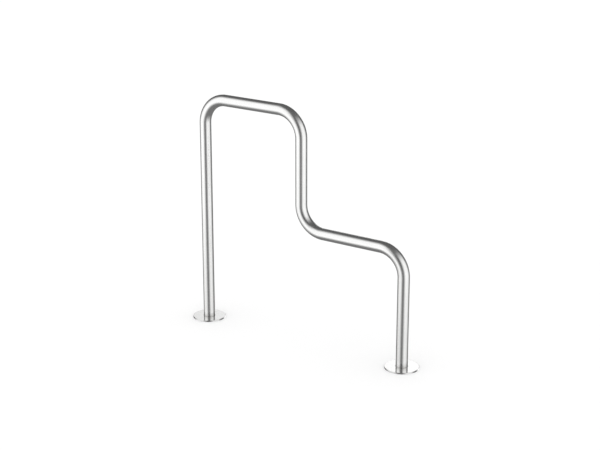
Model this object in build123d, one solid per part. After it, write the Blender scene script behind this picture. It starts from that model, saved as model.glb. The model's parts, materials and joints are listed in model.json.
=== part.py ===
from build123d import *
import os

# Stepped bike rack: one round stainless tube, bent four times in one plane, on two round feet.
# Each foot is a base plate for ground anchors, hidden under a flat cover that slides up the leg.
# X runs along the rack from the tall leg to the short leg, and Z is up.
# The origin is on the ground, midway between the two legs. Sizes are in millimetres.

# Tube
overall_height = 1000.0  # ground to the top of the top rail
leg_spacing = 976.0  # tall leg to short leg, axis to axis
step_length = 488.0  # tall leg to middle leg, axis to axis
step_drop = 488.0  # top rail down to lower rail, axis to axis
tube_diameter = 48.3
tube_wall = 2.6
bend_radius = 108.0  # on the tube's axis, alike at all four bends

# Cover, pressed from sheet
cover_diameter = 140.0
cover_sheet = 1.0
cover_edge_bevel = 0.8  # round the rim's upper edge
cover_tube_gap = 0.4  # all round, so that the cover slides along the leg
cover_plate_gap = 2.0  # all round, from the base plate's edge to the inside of the rim
cover_ground_gap = 0.3  # below the rim, so that the cover lies on the plate and not on the ground

# Base plate
plate_thickness = 5.0
plate_tube_gap = 0.15  # all round, for pushing the tube into the plate
anchor_count = 4
anchor_hole_diameter = 9.0
anchor_head_diameter = 16.5  # countersink at the plate's top face
anchor_head_angle = 90.0
anchor_edge_margin = 21.0  # from the axis of a hole to the plate's edge

# Weld, made from below and ground back
weld_bevel = 3.0  # bevel round the lower edge of the plate's bore
weld_ground_gap = 0.2  # from the ground up to the ground-off weld
tube_setback = 2.0  # from the ground up to the tube's end

# Places and radii that follow from the sizes above
tall_x = -leg_spacing / 2
short_x = leg_spacing / 2
middle_x = tall_x + step_length
top_rail_z = overall_height - tube_diameter / 2
lower_rail_z = top_rail_z - step_drop
tube_radius = tube_diameter / 2
tube_bore_radius = tube_radius - tube_wall
cover_radius = cover_diameter / 2
cover_top_z = plate_thickness + cover_sheet
plate_radius = cover_radius - cover_sheet - cover_plate_gap
plate_bore_radius = tube_radius + plate_tube_gap
anchor_circle_radius = plate_radius - anchor_edge_margin
first_anchor_angle = 180.0 / anchor_count


def rack_axis():
    """The line the tube follows: straight runs joined by equal tangent bends."""
    return FilletPolyline(
        (tall_x, 0, tube_setback),
        (tall_x, 0, top_rail_z),
        (middle_x, 0, top_rail_z),
        (middle_x, 0, lower_rail_z),
        (short_x, 0, lower_rail_z),
        (short_x, 0, tube_setback),
        radius=bend_radius,
    )


def rack_tube():
    """The whole rack in one length of tube, open at both ends."""
    axis = rack_axis()
    start = Plane(origin=axis @ 0, z_dir=axis % 0)
    section = Circle(tube_radius) - Circle(tube_bore_radius)
    return sweep(start * section, path=axis)


def base_plate():
    """Round plate with a bore for the tube, bevelled below for the weld, and countersunk anchor holes."""
    with BuildPart() as plate:
        with BuildSketch():
            Circle(plate_radius)
            Circle(plate_bore_radius, mode=Mode.SUBTRACT)
        extrude(amount=plate_thickness)
        bottom_rims = plate.faces().sort_by(Axis.Z)[0].edges()
        chamfer(bottom_rims.sort_by(SortBy.RADIUS)[0], weld_bevel)
        with Locations((0, 0, plate_thickness)):
            with PolarLocations(anchor_circle_radius, anchor_count, start_angle=first_anchor_angle):
                CounterSinkHole(
                    radius=anchor_hole_diameter / 2,
                    counter_sink_radius=anchor_head_diameter / 2,
                    counter_sink_angle=anchor_head_angle,
                )
    return plate.part


def weld_ring():
    """Ring of weld that fills the plate's bevel and runs across the tube's end, ground flat below."""
    bevel_foot = plate_bore_radius + weld_bevel
    flat_outer = (bevel_foot - weld_ground_gap, weld_ground_gap)
    root_outer = (bevel_foot - tube_setback, tube_setback)
    root_inner = (tube_bore_radius, tube_setback)
    flat_inner = (tube_radius - tube_wall / 2, weld_ground_gap)
    with BuildPart() as weld:
        with BuildSketch(Plane.XZ):
            with BuildLine():
                Polyline(flat_inner, flat_outer, root_outer, root_inner, close=True)
            make_face()
        revolve(axis=Axis.Z)
    return weld.part


def cover():
    """Shallow round cap: a flat top with a hole for the tube, and a rim folded down round the plate."""
    hole_radius = tube_radius + cover_tube_gap
    rim_inner = cover_radius - cover_sheet
    with BuildPart() as cap:
        with BuildSketch(Plane.XZ):
            with BuildLine():
                Polyline(
                    (hole_radius, plate_thickness),
                    (rim_inner, plate_thickness),
                    (rim_inner, cover_ground_gap),
                    (cover_radius, cover_ground_gap),
                    (cover_radius, cover_top_z),
                    (hole_radius, cover_top_z),
                    close=True,
                )
            make_face()
        revolve(axis=Axis.Z)
        top_rims = cap.faces().sort_by(Axis.Z)[-1].edges()
        chamfer(top_rims.sort_by(SortBy.RADIUS)[-1], cover_edge_bevel)
    return cap.part


nodes = {"rack_tube": rack_tube()}
for leg, leg_x in {"tall_leg": tall_x, "short_leg": short_x}.items():
    at_leg = Pos(leg_x, 0, 0)
    nodes[f"{leg}_base_plate"] = at_leg * base_plate()
    nodes[f"{leg}_weld"] = at_leg * weld_ring()
    nodes[f"{leg}_cover"] = at_leg * cover()

os.makedirs("parts", exist_ok=True)
for name, shape in nodes.items():
    export_step(shape, f"parts/{name}.step")
    print(f"{name}: {len(shape.solids())} solid, {shape.volume / 1000:.2f} cm3")

print(f"tube length along its axis: {rack_axis().length:.1f} mm")
print(f"straight travel of the cover on the tall leg: {top_rail_z - bend_radius - cover_top_z:.1f} mm")
print(f"straight travel of the cover on the short leg: {lower_rail_z - bend_radius - cover_top_z:.1f} mm")
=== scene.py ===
# %% [markdown]
# A stepped bike rack: one stainless tube, bent four times in one plane, on two round feet.
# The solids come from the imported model, in metres, and stay where they are.
# The tube and the two covers are made again here with finer curves, and every piece gets its finish.
# The base plates and their welds keep their solids, because their plain round shapes need no more.

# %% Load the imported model
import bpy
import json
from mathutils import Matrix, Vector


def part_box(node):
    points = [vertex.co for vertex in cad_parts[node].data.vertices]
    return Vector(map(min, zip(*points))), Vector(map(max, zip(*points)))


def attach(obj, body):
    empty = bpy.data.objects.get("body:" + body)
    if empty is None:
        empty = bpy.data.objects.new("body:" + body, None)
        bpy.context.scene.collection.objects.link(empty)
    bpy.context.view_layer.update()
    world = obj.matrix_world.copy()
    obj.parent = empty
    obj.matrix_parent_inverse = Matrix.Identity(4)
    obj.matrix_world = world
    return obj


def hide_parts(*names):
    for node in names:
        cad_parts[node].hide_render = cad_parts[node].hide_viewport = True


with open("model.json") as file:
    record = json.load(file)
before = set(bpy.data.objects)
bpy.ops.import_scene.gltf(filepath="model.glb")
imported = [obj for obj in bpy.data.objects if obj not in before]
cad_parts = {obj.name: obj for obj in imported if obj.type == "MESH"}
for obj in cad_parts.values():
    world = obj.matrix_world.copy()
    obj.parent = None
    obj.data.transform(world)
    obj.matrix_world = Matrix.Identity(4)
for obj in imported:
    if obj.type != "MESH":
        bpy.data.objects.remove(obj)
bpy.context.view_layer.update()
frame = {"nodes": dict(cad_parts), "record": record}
print("nodes:", sorted(frame["nodes"]))

# %% [markdown]
# The photograph was taken from the right, a little above the rack, with a long lens.
# A camera fitted to the tube's edges gives the place, the two angles and the lens below.
# The place and the lens are copied too, and not only the angle, so that the perspective is the same.

# %% Camera
import math
import bpy
from mathutils import Matrix, Vector

camera_place = Vector((3.1225, -4.4929, 2.2632))
camera_turn = 34.854  # degrees to the left of looking straight at the rack's front
camera_tilt = 17.790  # degrees below the horizon
lens_mm = 84.68
sensor_mm = 36.0

camera = bpy.data.objects.new("camera", bpy.data.cameras.new("camera"))
bpy.context.scene.collection.objects.link(camera)
camera.location = camera_place
camera.rotation_euler = (math.radians(90 - camera_tilt), 0, math.radians(camera_turn))
camera.data.lens = lens_mm
camera.data.sensor_width = sensor_mm
bpy.context.scene.camera = camera
bpy.context.scene.view_settings.view_transform = "Standard"
print("camera to origin:", round(camera_place.length, 3), "m")

# %% [markdown]
# The photograph shows plain white ground, with only soft shadows under the rack.
# Lamps would draw harder shadows, so a plain white world lights everything evenly.
# The floor is nearly white itself, so it runs into the background without a visible horizon.
# Reflections don't see the floor, because the dome of the next step reaches below it.

# %% White world
world_strength = 1.06

world = bpy.data.worlds.new("white_room")
world.use_nodes = True
background = world.node_tree.nodes["Background"]
background.inputs["Color"].default_value = (1.0, 1.0, 1.0, 1.0)
background.inputs["Strength"].default_value = world_strength
bpy.context.scene.world = world
print("world:", world.name, "with a strength of", world_strength)

# %% White floor
import bmesh

floor_size = 140.0
floor_colour = (0.98, 0.98, 0.98, 1.0)
floor_roughness = 0.8


def new_object(name, mesh):
    """Turn a finished bmesh into an object at the origin."""
    data = bpy.data.meshes.new(name)
    mesh.to_mesh(data)
    mesh.free()
    thing = bpy.data.objects.new(name, data)
    bpy.context.scene.collection.objects.link(thing)
    return thing


mesh = bmesh.new()
bmesh.ops.create_grid(mesh, x_segments=1, y_segments=1, size=floor_size / 2)
floor = new_object("floor", mesh)
floor.visible_glossy = False

floor_paint = bpy.data.materials.new("floor_paint")
floor_paint.use_nodes = True
shader = floor_paint.node_tree.nodes["Principled BSDF"]
shader.inputs["Base Color"].default_value = floor_colour
shader.inputs["Roughness"].default_value = floor_roughness
shader.inputs["Specular IOR Level"].default_value = 0.0
floor.data.materials.append(floor_paint)
print("floor:", floor_size, "m wide")

# %% [markdown]
# Bare metal shows its surroundings, and in a plain white room it would have no shape at all.
# Lamps would do, but their hard edges show on every bend, and the photograph has only soft stripes.
# So a dome stands round the rack, like cards hung in a studio.
# An object has a switch for each kind of ray, so this one is seen by reflections and by nothing else.

# %% Dome that only reflections see
dome_radius = 7.5
dome_centre_z = 0.5


def show_in_reflections(thing):
    """Hide a thing from everything but reflections."""
    thing.visible_camera = False
    thing.visible_diffuse = False
    thing.visible_transmission = False
    thing.visible_volume_scatter = False
    thing.visible_shadow = False


mesh = bmesh.new()
bmesh.ops.create_uvsphere(mesh, u_segments=64, v_segments=32, radius=dome_radius)
dome = new_object("dome", mesh)
dome.location.z = dome_centre_z
show_in_reflections(dome)
print("dome:", dome_radius, "m in radius")


# %% [markdown]
# The dome's paint is a node tree, and so is every finish further on.
# Nodes could be wired by hand in the shader editor, but a script can be read, changed and run again.
# A few short helpers keep it readable: one adds a node with its settings, one fills a socket with a
# value or a link, and the others make what nearly every tree here needs.

# %% Helpers for node trees
def add_node(tree, kind, sockets=(), **settings):
    """Add a node, set its properties, and fill the input sockets that are named or numbered."""
    node = tree.nodes.new(kind)
    for name, value in settings.items():
        setattr(node, name, value)
    for socket, value in dict(sockets).items():
        fill(tree, node.inputs[socket], value)
    return node


def fill(tree, socket, value):
    """Link a socket to another node's output, or give it a plain value."""
    if isinstance(value, bpy.types.NodeSocket):
        tree.links.new(value, socket)
    else:
        socket.default_value = value


def calculate(tree, operation, *values):
    """One Math node, with values or links, as an output to wire further."""
    return add_node(tree, "ShaderNodeMath", dict(enumerate(values)), operation=operation).outputs[0]


print("helpers for node trees: add_node, fill, calculate")


# %% Places and turns
def own_place(tree):
    """A point's place on its own thing, so that a pattern goes along when the thing is moved."""
    return add_node(tree, "ShaderNodeTexCoord").outputs["Object"]


def axes_of(tree, place):
    """X, Y and Z of a place, each to wire further."""
    return add_node(tree, "ShaderNodeSeparateXYZ", {0: place}).outputs


def turn_of(tree, axes):
    """The turn round Z in degrees, counted from X."""
    return calculate(tree, "DEGREES", calculate(tree, "ARCTAN2", axes["Y"], axes["X"]))


print("helpers for places: own_place, axes_of, turn_of")


# %% Masks with soft edges
def soft_rise(tree, value, edge, soft):
    """0 below the edge and 1 above it, with a soft passage."""
    passage = {0: value, 1: edge - soft / 2, 2: edge + soft / 2}
    return add_node(tree, "ShaderNodeMapRange", passage, interpolation_type="SMOOTHSTEP").outputs[0]


def soft_window(tree, value, low, high, soft):
    """1 where the value lies between low and high, with soft edges."""
    rise = soft_rise(tree, value, low, soft)
    fall = soft_rise(tree, value, high, soft)
    return calculate(tree, "SUBTRACT", rise, fall)


def soft_box(tree, turn, height, turns, heights, soft):
    """A box on the dome, between two turns and two heights, all in degrees."""
    across = soft_window(tree, turn, *turns, soft)
    upward = soft_window(tree, height, *heights, soft)
    return calculate(tree, "MULTIPLY", across, upward)


def add_share(tree, value, mask, amount):
    """Add an amount to a value, as far as a mask is 1."""
    return calculate(tree, "MULTIPLY_ADD", mask, amount, value)


print("helpers for masks: soft_rise, soft_window, soft_box, add_share")

# %% [markdown]
# Soft boxes could be bright planes, but their edges would be hard.
# Painted on the dome, each is a window of turns and heights, with edges as soft as they need to be.
# A point's direction from the dome's middle gives both angles.
# The dark gap between the boxes makes the dark stripe down the middle of each leg.

# %% Soft boxes painted on the dome
gap_beside_camera = 10  # degrees; the middle of the dark gap lies a little to the left of the camera
left_turns = (-102, -25)  # degrees from the middle of the gap
left_heights = (-30, 56)  # degrees above the horizon
left_light = 1.13
right_turns = (28, 108)
right_heights = (-33, 45)
right_light = 1.06
box_edge = 40.0  # degrees over which a box fades
dark_above = 0.125  # brightness of the dome outside the boxes, above and below the horizon
dark_below = 0.22


def new_light(name):
    """An empty material for something that only gives light, and its tree."""
    light = bpy.data.materials.new(name)
    light.use_nodes = True
    light.node_tree.nodes.clear()
    return light, light.node_tree


cards, tree = new_light("studio_cards")
direction = {0: own_place(tree)}
direction = add_node(tree, "ShaderNodeVectorMath", direction, operation="NORMALIZE").outputs[0]
gap_turn = camera_turn - 90 - gap_beside_camera  # degrees from X
from_gap = {"Vector": direction, "Angle": math.radians(-gap_turn)}
from_gap = add_node(tree, "ShaderNodeVectorRotate", from_gap, rotation_type="Z_AXIS").outputs[0]
axes = axes_of(tree, from_gap)
turn = turn_of(tree, axes)
height = calculate(tree, "DEGREES", calculate(tree, "ARCSINE", axes["Z"]))
left_box = soft_box(tree, turn, height, left_turns, left_heights, box_edge)
right_box = soft_box(tree, turn, height, right_turns, right_heights, box_edge)

upper_half = soft_rise(tree, height, 0, box_edge)
light = add_share(tree, dark_below, upper_half, dark_above - dark_below)
light = add_share(tree, light, left_box, left_light)
light = add_share(tree, light, right_box, right_light)
glow = add_node(tree, "ShaderNodeEmission", {"Color": light}).outputs[0]
add_node(tree, "ShaderNodeOutputMaterial", {"Surface": glow})
dome.data.materials.append(cards)
print("nodes that paint the dome:", len(tree.nodes))

# %% [markdown]
# The covers lie flat, so they mirror what stands low behind the rack.
# In the photograph that is white, a little darker at the tall leg.
# A bright patch on the dome would do, but it would brighten the dark upper edges of the rails too.
# So a card stands close behind the rack, where the line of sight goes on from both covers.
# Seen from the rails it is too low to matter.

# %% Place of the white card
card_distance = 2.5  # from each cover
card_margin = 0.3  # beyond the lines of sight, at both ends

mounts = {mount["name"]: Vector(mount["pos_m"]) for mount in frame["record"]["mounts"]}
feet = {leg: mounts[f"{leg}_foot_anchors"] for leg in ("tall", "short")}


def mirrored(foot):
    """Follow the line of sight to a foot, and from there on as a level mirror turns it."""
    sight = foot - camera_place
    sight.z = -sight.z
    return foot + card_distance * sight.normalized()


tall_end = mirrored(feet["tall"])
short_end = mirrored(feet["short"])
card_along = (short_end - tall_end).normalized()
card_facing = card_along.cross((0, 0, 1)).normalized()
card_half = (short_end - tall_end).length / 2 + card_margin
print("card:", round(2 * card_half, 2), "m wide,", card_distance, "m from the covers")

# %% White card behind the rack
card_height = 0.42
card_edge = 0.2  # over which the card fades
dim_end = 0.94  # brightness at the tall leg's end
bright_end = 1.36


def show_card(tree, brightness, mask):
    """End a card's material: it glows where the mask is 1, and is not there where the mask is 0."""
    glow = add_node(tree, "ShaderNodeEmission", {"Strength": brightness}).outputs[0]
    clear = add_node(tree, "ShaderNodeBsdfTransparent").outputs[0]
    shown = add_node(tree, "ShaderNodeMixShader", {0: mask, 1: clear, 2: glow}).outputs[0]
    add_node(tree, "ShaderNodeOutputMaterial", {"Surface": shown})


mesh = bmesh.new()
bmesh.ops.create_grid(mesh, x_segments=1, y_segments=1, size=card_half + card_edge)
card = new_object("white_card", mesh)
card_axes = Matrix((card_along, card_facing.cross(card_along), card_facing)).transposed()
card.matrix_world = card_axes.to_4x4()
card.location = (tall_end + short_end) / 2
show_in_reflections(card)

white, tree = new_light("white_card")
axes = axes_of(tree, own_place(tree))
across = soft_window(tree, axes["X"], -card_half, card_half, card_edge)
upward = soft_window(tree, axes["Y"], -card_height / 2, card_height / 2, card_edge)
ramp = {0: axes["X"], 1: -card_half, 2: card_half, 3: dim_end, 4: bright_end}
ramp = add_node(tree, "ShaderNodeMapRange", ramp).outputs[0]
show_card(tree, ramp, calculate(tree, "MULTIPLY", across, upward))
card.data.materials.append(white)
print("card at", [round(value, 2) for value in card.location])

# %% [markdown]
# The rims stand so low that they mirror only the ground right beside them.
# In the photograph each rim turns dark on its right side and then fades into the white floor.
# Paint on the floor would do that, but the camera would see it as well.
# So a strip of card that only reflections see lies round the right side of each foot, dark at its
# near end and white at the other.
# The Light Path node tells how long a ray is. Only short rays see the strip, so the legs above go on
# mirroring the dome.

# %% Strips of card beside the rims
strip_inner = 0.069  # just under the rim
strip_outer = 0.090
strip_turns = (42, 115)  # degrees to the right of the line of sight, from the strip's start to its end
strip_edge = 16.0  # degrees over which the strip fades
strip_steps = 24


def make_strip(name, foot):
    """Lay a strip round a foot, on axes of its own whose X points to the camera."""
    first = math.radians(strip_turns[0] - strip_edge)
    last = math.radians(strip_turns[1] + strip_edge)
    outward = Vector((math.cos(first), math.sin(first), 0))
    mesh = bmesh.new()
    across = [mesh.verts.new(radius * outward) for radius in (strip_inner, strip_outer)]
    across.append(mesh.edges.new(across))
    bmesh.ops.spin(mesh, geom=across, axis=(0, 0, 1), angle=last - first, steps=strip_steps)
    strip = new_object(name, mesh)
    sight = camera_place - foot
    strip.location = foot
    strip.rotation_euler.z = math.atan2(sight.y, sight.x)
    show_in_reflections(strip)
    return strip


strips = [make_strip(f"{leg}_rim_strip", foot) for leg, foot in feet.items()]
print("strips:", [strip.name for strip in strips])

# %% Paint of the strips
strip_change = 68  # degrees; here dark turns to white
strip_dark = 0.14
strip_white = 1.6
strip_reach = 0.020  # a little more than the longest way from a rim to its strip

paint, tree = new_light("strip_paint")
turn = turn_of(tree, axes_of(tree, own_place(tree)))
change = soft_rise(tree, turn, strip_change, strip_edge)
light = add_share(tree, strip_dark, change, strip_white - strip_dark)
way = add_node(tree, "ShaderNodeLightPath").outputs["Ray Length"]
close_by = calculate(tree, "LESS_THAN", way, strip_reach)
shown = soft_window(tree, turn, *strip_turns, strip_edge)
show_card(tree, light, calculate(tree, "MULTIPLY", shown, close_by))
for strip in strips:
    strip.data.materials.append(paint)
print("nodes that paint the strips:", len(tree.nodes))

# %% [markdown]
# The rack itself is one tube: tall leg, top rail, middle leg, lower rail and short leg in one piece.
# A curve with a round bevel would give the outside, but not the wall and the open ends.
# So a circle is grown with bmesh as a tube bender works: extruding pulls the straight runs, and
# spinning makes the bends. Solidify then thickens the wall inwards, which leaves both ends open.

# %% Sizes of the tube
tube_diameter = 0.0483
tube_wall = 0.0026
bend_radius = 0.108  # on the tube's axis
step_length = 0.488  # tall leg to middle leg
step_drop = 0.488  # top rail down to lower rail

tube_radius = tube_diameter / 2
tall_x = feet["tall"].x
short_x = feet["short"].x
middle_x = tall_x + step_length
tube_low, tube_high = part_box("rack_tube")
foot_z = tube_low.z
top_rail_z = tube_high.z - tube_radius
lower_rail_z = top_rail_z - step_drop
print("legs at", [round(1000 * x) for x in (tall_x, middle_x, short_x)], "mm")
print("rails at", [round(1000 * z) for z in (top_rail_z, lower_rail_z)], "mm")

# %% [markdown]
# Ground steel has its lines along the tube, round every bend as well.
# A pattern in space would cut across the bends, so each point keeps its place on the straight tube.
# It is kept as an attribute of the mesh, which the finish can read later.
# A second attribute keeps how far the bend stretched the wall, because stretched steel looks duller.

# %% Pulling and bending a rim
tube_sides = 96
bend_steps = 32
ring_spacing = 0.03


def rim_of(grown):
    """Vertices and edges of the rim that an extrude or a spin has just made."""
    verts = [item for item in grown if isinstance(item, bmesh.types.BMVert)]
    made = set(verts)
    edges = [item for item in grown if isinstance(item, bmesh.types.BMEdge)]
    return verts, [edge for edge in edges if made.issuperset(edge.verts)]


def pull(mesh, rim, run, length):
    """Pull the rim along a straight run, and return the new rim and the length so far."""
    straight = mesh.verts.layers.float_vector["straight"]
    rings = math.ceil(run.length / ring_spacing)
    for _ in range(rings):
        verts, rim = rim_of(bmesh.ops.extrude_edge_only(mesh, edges=rim)["geom"])
        bmesh.ops.translate(mesh, verts=verts, vec=run / rings)
        length += run.length / rings
        for vert in verts:
            vert[straight].z = length
    return rim, length


def bend(mesh, rim, centre, axis, length):
    """Spin the rim a quarter turn round a centre, and return the new rim and the length so far."""
    straight = mesh.verts.layers.float_vector["straight"]
    stretch = mesh.verts.layers.float["stretch"]
    step = math.pi / 2 / bend_steps
    for done in range(1, bend_steps + 1):
        ends = list({vert for edge in rim for vert in edge.verts})
        spun = bmesh.ops.spin(mesh, geom=ends + rim, cent=centre, axis=axis, angle=step, steps=1)
        verts, rim = rim_of(spun["geom_last"])
        length += bend_radius * step
        for vert in verts:
            from_centre = vert.co - centre
            from_centre.y = 0
            vert[straight].z = length
            vert[stretch] = from_centre.length / bend_radius - 1 if done < bend_steps else 0
    return rim, length


print("a bend takes", round(math.pi / 2 * bend_radius, 4), "m of tube, in", bend_steps, "steps")

# %% Bent tube
sharp_angle = math.radians(60)  # only the cut edges of tube and sheet turn more than this


def make_bent_tube():
    """Grow the tube from the tall leg's foot to the short leg's, and give it its wall."""
    mesh = bmesh.new()
    mesh.verts.layers.float_vector.new("straight")
    mesh.verts.layers.float.new("stretch")
    straight = mesh.verts.layers.float_vector["straight"]  # found last: a new layer moves the others
    foot = Vector((tall_x, 0, foot_z))
    other_foot = Vector((short_x, 0, foot_z))
    corners = [
        Vector((tall_x, 0, top_rail_z)),
        Vector((middle_x, 0, top_rail_z)),
        Vector((middle_x, 0, lower_rail_z)),
        Vector((short_x, 0, lower_rail_z)),
    ]

    at_foot = Matrix.Translation(foot)
    bmesh.ops.create_circle(mesh, radius=tube_radius, segments=tube_sides, matrix=at_foot)
    for vert in mesh.verts:
        vert[straight] = vert.co - foot
    rim = mesh.edges[:]
    length = 0.0
    here = foot
    for corner, following in zip(corners, corners[1:] + [other_foot]):
        inward = (corner - here).normalized()
        outward = (following - corner).normalized()
        bend_start = corner - inward * bend_radius
        centre = bend_start + outward * bend_radius
        rim, length = pull(mesh, rim, bend_start - here, length)
        rim, length = bend(mesh, rim, centre, inward.cross(outward), length)
        here = corner + outward * bend_radius
    rim, length = pull(mesh, rim, other_foot - here, length)

    bmesh.ops.recalc_face_normals(mesh, faces=mesh.faces[:])
    bmesh.ops.solidify(mesh, geom=mesh.faces[:], thickness=tube_wall)
    for face in mesh.faces:
        face.smooth = True
    for edge in mesh.edges:
        edge.smooth = edge.calc_face_angle() < sharp_angle
    steel_cm3 = mesh.calc_volume(signed=True) * 100 ** 3
    print("tube:", round(length, 4), "m along its axis,", round(steel_cm3, 1), "cm3 of steel")
    return new_object("bent_tube", mesh)


bent_tube = make_bent_tube()
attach(bent_tube, "rack_frame")
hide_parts("rack_tube")

# %% [markdown]
# Each foot hides under a cover pressed from thin sheet: a flat ring with its rim folded down.
# A lathe's profile, spun round, would do, but here the cover is made the way the press makes it.
# A ring of sheet is drawn out flat and then down over the rim. A bevel rounds the fold before solidify
# gives the sheet its thickness, so both sides of the fold are round.
# The cut edges are eased a little last, because a bare edge of sheet is always deburred.
# Weighted normals then keep the flat top looking flat right up to the fold.

# %% Sizes of the covers
cover_diameter = 0.140
cover_sheet = 0.001
cover_tube_gap = 0.0004
fold_radius = 0.0011  # outside of the fold
fold_steps = 6
deburr = 0.00015
deburr_steps = 2
cover_sides = 144

hole_radius = tube_radius + cover_tube_gap
print("covers:", 1000 * cover_diameter, "mm across, with a hole of", round(2000 * hole_radius, 2), "mm")


# %% Pressed covers
def draw_sheet(mesh, edge, centre, scale, drop):
    """Draw the sheet on from its edge, outwards or down, and return the new edge."""
    verts, new_edge = rim_of(bmesh.ops.extrude_edge_only(mesh, edges=edge)["geom"])
    bmesh.ops.scale(mesh, verts=verts, vec=(scale, scale, 1), space=Matrix.Translation(-centre))
    bmesh.ops.translate(mesh, verts=verts, vec=(0, 0, -drop))
    return new_edge


def ease(mesh, edges, size, segments):
    """Round edges over with a bevel."""
    bmesh.ops.bevel(
        mesh,
        geom=edges,
        offset=size,
        segments=segments,
        profile=0.5,
        affect="EDGES",
        material=-1,
    )


def make_cover(leg, leg_x):
    """Press one cover round a leg, from a ring of sheet."""
    low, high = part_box(f"{leg}_leg_cover")
    centre = Vector((leg_x, 0, high.z))
    mesh = bmesh.new()
    ring = Matrix.Translation(centre)
    bmesh.ops.create_circle(mesh, radius=hole_radius, segments=cover_sides, matrix=ring)
    fold = draw_sheet(mesh, mesh.edges[:], centre, cover_diameter / 2 / hole_radius, 0)
    draw_sheet(mesh, fold, centre, 1, high.z - low.z)
    ease(mesh, fold, fold_radius, fold_steps)
    bmesh.ops.recalc_face_normals(mesh, faces=mesh.faces[:])
    bmesh.ops.solidify(mesh, geom=mesh.faces[:], thickness=cover_sheet)
    cut_edges = [edge for edge in mesh.edges if edge.calc_face_angle() > sharp_angle]
    ease(mesh, cut_edges, deburr, deburr_steps)
    for face in mesh.faces:
        face.smooth = True
    print(leg, "cover:", len(mesh.faces), "faces, top at", round(1000 * high.z, 2), "mm")
    return new_object(f"{leg}_pressed_cover", mesh)


covers = []
for leg, foot in feet.items():
    cover = make_cover(leg, foot.x)
    cover.modifiers.new("flat_faces", "WEIGHTED_NORMAL")
    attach(cover, f"{leg}_foot_cover")
    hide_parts(f"{leg}_leg_cover")
    covers.append(cover)

# %% [markdown]
# All four finishes are bare steel, so they share what steel shows: ground lines, clouds and scratches.
# Pictures of steel would do for one distance. Noise drawn out in one direction stays sharp at any.
# Each effect is a node group with named sockets, placed in each material with its own values.
# A group's third axis runs along the marks, so a material only has to turn its own coordinates to suit.

# %% Helpers for node groups
number = "NodeSocketFloat"
vector = "NodeSocketVector"


def new_group(name, inputs, outputs):
    """Start a node group with named sockets, and return the group, its given values and its results."""
    group = bpy.data.node_groups.new(name, "ShaderNodeTree")
    for side, sockets in (("INPUT", inputs), ("OUTPUT", outputs)):
        for socket, kind in sockets.items():
            group.interface.new_socket(socket, in_out=side, socket_type=kind)
    given = add_node(group, "NodeGroupInput").outputs
    results = add_node(group, "NodeGroupOutput").inputs
    return group, given, results


def use_group(tree, group, values):
    """Place a group in a material with the material's own values, and return what it puts out."""
    return add_node(tree, "ShaderNodeGroup", values, node_tree=group).outputs


def draw_out(tree, place, across, along):
    """Scale coordinates by one number across the marks and another along them."""
    scale = add_node(tree, "ShaderNodeCombineXYZ", {0: across, 1: across, 2: along}).outputs[0]
    return add_node(tree, "ShaderNodeVectorMath", {0: place, 1: scale}, operation="MULTIPLY").outputs[0]


print("helpers for node groups: new_group, use_group, draw_out")

# %% Ground lines and clouds
cloud_scale = 14.0  # clouds in a metre

sockets = {"Place": vector, "Lines per metre": number, "Line length": number}
ground_lines, given, results = new_group("ground_lines", sockets, {"Lines": number, "Clouds": number})
along = calculate(ground_lines, "DIVIDE", 1.0, given["Line length"])
drawn = draw_out(ground_lines, given["Place"], given["Lines per metre"], along)
fine = {"Vector": drawn, "Scale": 1.0, "Detail": 3.0, "Roughness": 0.6}
lines = add_node(ground_lines, "ShaderNodeTexNoise", fine).outputs[0]
broad = {"Vector": given["Place"], "Scale": cloud_scale, "Detail": 2.0}
clouds = add_node(ground_lines, "ShaderNodeTexNoise", broad).outputs[0]
ground_lines.links.new(lines, results["Lines"])
ground_lines.links.new(clouds, results["Clouds"])
print("ground_lines:", len(ground_lines.nodes), "nodes")

# %% Scratches
scratch_threshold = 0.70  # of a noise; higher leaves fewer scratches
scratch_edge = 0.05

sockets = {"Place": vector, "Scratch width": number, "Scratch length": number}
scratches, given, results = new_group("scratches", sockets, {"Scratches": number})
across = calculate(scratches, "DIVIDE", 1.0, given["Scratch width"])
along = calculate(scratches, "DIVIDE", 1.0, given["Scratch length"])
streaks = {"Vector": draw_out(scratches, given["Place"], across, along), "Scale": 1.0, "Detail": 1.0}
streaks = add_node(scratches, "ShaderNodeTexNoise", streaks).outputs[0]
sharpest = soft_rise(scratches, streaks, scratch_threshold, scratch_edge)
scratches.links.new(sharpest, results["Scratches"])
print("scratches:", len(scratches.nodes), "nodes")

# %% [markdown]
# Covers, plates and welds are all round the two legs, and their marks run round the legs as well.
# A material for each foot would do, but the legs stand at equal distances left and right of the origin.
# So the size of X, less that distance, is measured from the nearer leg.
# One group then serves both feet, and gives the radius and the turn there, in metres and radians.

# %% Place round the nearer leg
from_leg, given, results = new_group("from_leg", {"Place": vector}, {"Radius": number, "Turn": number})
axes = axes_of(from_leg, given["Place"])
beside = calculate(from_leg, "SUBTRACT", calculate(from_leg, "ABSOLUTE", axes["X"]), short_x)
squares = calculate(from_leg, "MULTIPLY", beside, beside)
squares = calculate(from_leg, "MULTIPLY_ADD", axes["Y"], axes["Y"], squares)
from_leg.links.new(calculate(from_leg, "SQRT", squares), results["Radius"])
from_leg.links.new(calculate(from_leg, "ARCTAN2", axes["Y"], beside), results["Turn"])
print("from_leg: legs", round(2 * short_x, 4), "m apart")

# %% [markdown]
# The tube is stainless steel with a satin finish, ground along its length before it was bent.
# Its lines are fine and even, so they show less as lines than as a soft gloss that clouds a little.
# The outside of each bend is stretched, which opens the grain, so it is a touch duller there.
# A few faint scratches run round the tube, where locks and bikes have rubbed it. They are drawn on the
# unrolled tube, so that they stay on its surface as a real scratch does.
# Painted shade darkens the last two centimetres of each leg, where it goes into its cover, and the
# steel there is a little rougher too.

# %% Bare steel to start from
noise_range = (0.3, 0.7)  # a noise seldom leaves this range


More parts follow.
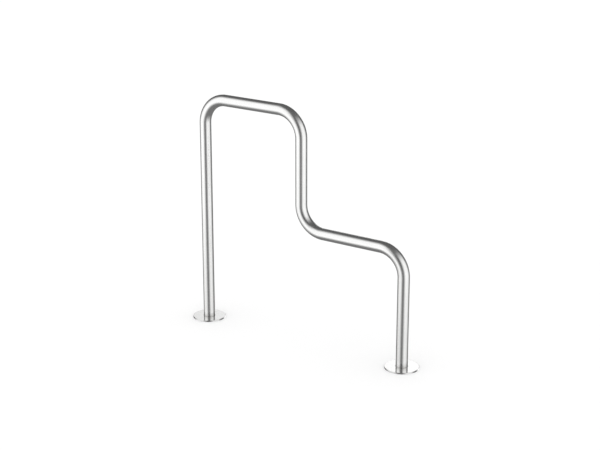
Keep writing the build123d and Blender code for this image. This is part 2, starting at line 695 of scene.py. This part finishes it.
def new_steel(name):
    """A material of bare metal, with its tree and its shader to wire further."""
    steel = bpy.data.materials.new(name)
    steel.use_nodes = True
    shader = steel.node_tree.nodes["Principled BSDF"]
    shader.inputs["Metallic"].default_value = 1.0
    return steel, steel.node_tree, shader


def mix_colours(tree, factor, first, second):
    """Blend two colours, each a link or a plain colour, by a mask."""
    mix = add_node(tree, "ShaderNodeMix", {0: factor, 6: first, 7: second}, data_type="RGBA")
    return mix.outputs[2]


def spread(tree, value, low, high):
    """Turn the middle range of a noise into a range from low to high."""
    ends = {0: value, 1: noise_range[0], 2: noise_range[1], 3: low, 4: high}
    return add_node(tree, "ShaderNodeMapRange", ends).outputs[0]


def turn_place(tree, place, angles):
    """Turn coordinates by three angles in degrees, so that their third axis runs along the marks."""
    rotation = [math.radians(angle) for angle in angles]
    return add_node(tree, "ShaderNodeMapping", {"Vector": place, "Rotation": rotation}).outputs[0]


def press_in(tree, shader, height, depth):
    """Bump the surface by a height, as deep as a real mark is, in metres."""
    bump = {"Height": height, "Strength": 1.0, "Distance": depth}
    tree.links.new(add_node(tree, "ShaderNodeBump", bump).outputs[0], shader.inputs["Normal"])


print("helpers for steel: new_steel, mix_colours, spread, turn_place, press_in")

# %% Marks on the tube
foot_shade_height = 0.015  # above the ground, on average
foot_shade_edge = 0.022
foot_shade_share = (0.3, 0.5)
scratch_slant = 75  # degrees from the tube's length

satin, tree, shader = new_steel("satin_tube_steel")
place = add_node(tree, "ShaderNodeAttribute", attribute_name="straight").outputs["Vector"]
stretch = add_node(tree, "ShaderNodeAttribute", attribute_name="stretch").outputs["Fac"]
grain = {"Place": place, "Lines per metre": 2200.0, "Line length": 0.06}
grain = use_group(tree, ground_lines, grain)

axes = axes_of(tree, place)
around = calculate(tree, "MULTIPLY", calculate(tree, "ARCTAN2", axes["Y"], axes["X"]), tube_radius)
unrolled = add_node(tree, "ShaderNodeCombineXYZ", {0: around, 2: axes["Z"]}).outputs[0]
slanted = turn_place(tree, unrolled, (0, scratch_slant, 0))
rubbed = {"Place": slanted, "Scratch width": 0.0005, "Scratch length": 0.025}
rubbed = use_group(tree, scratches, rubbed)["Scratches"]

# painted shade: the last two centimetres of each leg, where it goes into its cover, are darkened
height = axes_of(tree, own_place(tree))["Z"]
unshaded = soft_rise(tree, height, foot_shade_height, foot_shade_edge)
foot_shade = calculate(tree, "SUBTRACT", 1.0, unshaded)
foot_shade = calculate(tree, "MULTIPLY", foot_shade, spread(tree, grain["Clouds"], *foot_shade_share))
print("marks on the tube:", len(tree.nodes), "nodes")

# %% Satin tube steel
satin_dark = (0.74, 0.74, 0.735, 1)
satin_bright = (0.86, 0.86, 0.855, 1)
# colour of the painted shade, at the feet of the legs and round the covers' holes
painted_shade_colour = (0.42, 0.41, 0.39, 1)
satin_roughness = (0.19, 0.25)
stretch_dulls = 0.2  # what stretching, scratches and the painted shade at the feet add to the roughness
scratch_dulls = 0.06
foot_shade_dulls = 0.15
scratch_cut = -0.5  # depth of a scratch, next to the height of a line
satin_depth = 0.000015  # of the lines

colour = mix_colours(tree, spread(tree, grain["Lines"], 0, 1), satin_dark, satin_bright)
# the painted shade at the feet darkens the steel's colour
tree.links.new(mix_colours(tree, foot_shade, colour, painted_shade_colour), shader.inputs["Base Color"])
stretched = calculate(tree, "MAXIMUM", stretch, 0.0)
roughness = spread(tree, grain["Clouds"], *satin_roughness)
roughness = add_share(tree, roughness, stretched, stretch_dulls)
roughness = add_share(tree, roughness, rubbed, scratch_dulls)
roughness = add_share(tree, roughness, foot_shade, foot_shade_dulls)
tree.links.new(roughness, shader.inputs["Roughness"])
press_in(tree, shader, add_share(tree, grain["Lines"], rubbed, scratch_cut), satin_depth)
bent_tube.data.materials.append(satin)
print("satin_tube_steel:", len(tree.nodes), "nodes")

# %% [markdown]
# The covers are turned on a lathe after pressing, so they have very fine rings and a mirror's gloss.
# Noise along a single line gives such rings, when the line is the distance from the leg.
# Less the height, that distance runs on over the fold, so the rings go on down the rim.
# Faint smudges dull the gloss here and there, as hands leave them when the cover is pushed up the leg.
# A fine line of painted shade darkens the cover where it meets the tube, and makes it a little rougher
# there.

# %% Marks on the covers
rings_per_metre = 2500.0
smudge_turn = (0, 90, 25)  # degrees
rubbing_turn = (0, 90, 60)
seam_shade_width = 0.0025  # from the edge of the hole
seam_shade_share = (0.3, 0.7)

turned_steel, tree, shader = new_steel("turned_cover_steel")
place = own_place(tree)
radius = use_group(tree, from_leg, {"Place": place})["Radius"]
distance = calculate(tree, "SUBTRACT", radius, axes_of(tree, place)["Z"])
rings = {"W": calculate(tree, "MULTIPLY", distance, rings_per_metre), "Scale": 1.0, "Detail": 2.0}
rings = add_node(tree, "ShaderNodeTexNoise", rings, noise_dimensions="1D").outputs[0]
smeared = turn_place(tree, place, smudge_turn)
smudges = {"Place": smeared, "Lines per metre": 120.0, "Line length": 0.02}
smudges = use_group(tree, ground_lines, smudges)["Lines"]
slanted = turn_place(tree, place, rubbing_turn)
rubbed = {"Place": slanted, "Scratch width": 0.0004, "Scratch length": 0.02}
rubbed = use_group(tree, scratches, rubbed)["Scratches"]

# painted shade: a fine dark line round the hole, where the cover meets the tube
unshaded = soft_rise(tree, radius, hole_radius + seam_shade_width / 2, seam_shade_width)
seam_shade = calculate(tree, "SUBTRACT", 1.0, unshaded)
seam_shade = calculate(tree, "MULTIPLY", seam_shade, spread(tree, smudges, *seam_shade_share))
print("marks on the covers:", len(tree.nodes), "nodes")

# %% Turned cover steel
turned_dark = (0.76, 0.76, 0.755, 1)
turned_bright = (0.82, 0.82, 0.815, 1)
turned_roughness = (0.05, 0.08)
smudge_dulls = (0.0, 0.05)  # what smudges, scratches and the painted shade at the seam add to the roughness
rubbing_dulls = 0.08
seam_shade_dulls = 0.3
turned_depth = 0.000002  # of the rings

colour = mix_colours(tree, rings, turned_dark, turned_bright)
# the painted shade at the seam darkens the steel's colour
tree.links.new(mix_colours(tree, seam_shade, colour, painted_shade_colour), shader.inputs["Base Color"])
ringed = spread(tree, rings, *turned_roughness)
roughness = calculate(tree, "ADD", ringed, spread(tree, smudges, *smudge_dulls))
roughness = add_share(tree, roughness, rubbed, rubbing_dulls)
roughness = add_share(tree, roughness, seam_shade, seam_shade_dulls)
tree.links.new(roughness, shader.inputs["Roughness"])
press_in(tree, shader, add_share(tree, rings, rubbed, scratch_cut), turned_depth)
for cover in covers:
    cover.data.materials.append(turned_steel)
print("turned_cover_steel:", len(tree.nodes), "nodes")

# %% [markdown]
# The base plates stay hidden until a cover is pushed up, so they keep the dull finish of rolled plate.
# Their edges and holes are cut by laser, which leaves upright grooves. Two materials would do for that,
# but the way that a face looks tells the two apart, so one is enough for the whole plate.
# The weld below has tinted the steel round the bore, straw-coloured first and blue nearest the tube.

# %% Marks on the plates
plate_tube_gap = 0.00015
rolling_turn = (0, 90, 0)  # degrees
level_edge = 0.5  # of the normal's Z, between level faces and upright ones
level_soft = 0.2
straw_width = 0.008  # from the bore outwards
straw_soft = 0.006
straw_share = 0.7
blue_width = 0.002
blue_inside = 0.004  # the blue starts this far inside the bore, so that it is full at its edge
blue_soft = 0.004
blue_share = 0.6

bore_radius = tube_radius + plate_tube_gap
plate_steel, tree, shader = new_steel("mill_plate_steel")
place = own_place(tree)
radius = use_group(tree, from_leg, {"Place": place})["Radius"]
rolling = turn_place(tree, place, rolling_turn)
rolled = {"Place": rolling, "Lines per metre": 900.0, "Line length": 0.004}
rolled = use_group(tree, ground_lines, rolled)
grooves = {"Place": place, "Lines per metre": 1800.0, "Line length": 0.03}
grooves = use_group(tree, ground_lines, grooves)["Lines"]
facing = axes_of(tree, add_node(tree, "ShaderNodeNewGeometry").outputs["Normal"])
level = soft_rise(tree, calculate(tree, "ABSOLUTE", facing["Z"]), level_edge, level_soft)
straw = soft_window(tree, radius, bore_radius, bore_radius + straw_width, straw_soft)
straw = calculate(tree, "MULTIPLY", straw, straw_share)
blue = soft_window(tree, radius, bore_radius - blue_inside, bore_radius + blue_width, blue_soft)
blue = calculate(tree, "MULTIPLY", blue, blue_share)
print("marks on the plates:", len(tree.nodes), "nodes")

# %% Mill-finished plate steel
mill_dark = (0.56, 0.56, 0.55, 1)
mill_bright = (0.68, 0.68, 0.67, 1)
straw_colour = (0.66, 0.55, 0.36, 1)
blue_colour = (0.34, 0.38, 0.52, 1)
mill_roughness = (0.26, 0.34)
groove_dulls = (0.0, 0.1)  # what the grooves add to the roughness
mill_depth = 0.00003  # of the lines and grooves

colour = mix_colours(tree, rolled["Clouds"], mill_dark, mill_bright)
colour = mix_colours(tree, straw, colour, straw_colour)
colour = mix_colours(tree, blue, colour, blue_colour)
tree.links.new(colour, shader.inputs["Base Color"])
milled = spread(tree, rolled["Lines"], *mill_roughness)
roughness = calculate(tree, "ADD", milled, spread(tree, grooves, *groove_dulls))
tree.links.new(roughness, shader.inputs["Roughness"])
marks = add_node(tree, "ShaderNodeMix", {0: level, 2: grooves, 3: rolled["Lines"]}).outputs[0]
press_in(tree, shader, marks, mill_depth)
print("mill_plate_steel:", len(tree.nodes), "nodes")

# %% [markdown]
# The weld runs round the tube below the plate and is ground back so that the foot stands flat.
# Close ripples show where each drop of metal set, under coarse marks of the grinder.
# A sine of the turn round the leg gives the ripples, and clouds added to it make them uneven.
# Heat has left the weld a little darker than the plate, with straw-coloured patches.

# %% Ground weld metal
ripple_count = 90.0  # in a full turn
ripple_wander = 6.0  # radians; how far the clouds push a ripple out of step
ripple_share = 0.6  # height of a ripple, next to the marks of the grinder
grinding_turn = (0, 90, 35)  # degrees
weld_grey = (0.50, 0.50, 0.50, 1)
weld_straw = (0.58, 0.54, 0.46, 1)
weld_roughness = (0.28, 0.42)
weld_depth = 0.00005  # of the marks

weld_metal, tree, shader = new_steel("ground_weld_metal")
place = own_place(tree)
turn = use_group(tree, from_leg, {"Place": place})["Turn"]
grinding = turn_place(tree, place, grinding_turn)
ground = {"Place": grinding, "Lines per metre": 1500.0, "Line length": 0.012}
ground = use_group(tree, ground_lines, ground)
wander = calculate(tree, "MULTIPLY", ground["Clouds"], ripple_wander)
ripples = calculate(tree, "SINE", calculate(tree, "MULTIPLY_ADD", turn, ripple_count, wander))

patches = spread(tree, ground["Clouds"], 0, 1)
colour = mix_colours(tree, patches, weld_grey, weld_straw)
tree.links.new(colour, shader.inputs["Base Color"])
tree.links.new(spread(tree, ground["Lines"], *weld_roughness), shader.inputs["Roughness"])
press_in(tree, shader, add_share(tree, ground["Lines"], ripples, ripple_share), weld_depth)
print("ground_weld_metal:", len(tree.nodes), "nodes")

# %% [markdown]
# The plates and welds could be modelled again too, but they keep the meshes of their solids here.
# Those stay untouched, so each finish only goes into the material slot that the solid came with.

# %% Finishes of the solids that stay
for leg in feet:
    frame["nodes"][f"{leg}_leg_base_plate"].material_slots[0].material = plate_steel
    frame["nodes"][f"{leg}_leg_weld"].material_slots[0].material = weld_metal
    print(leg, "foot:", plate_steel.name, "and", weld_metal.name)

# %% [markdown]
# The finished model has to stay the size of the solids.

# %% Import json
import json
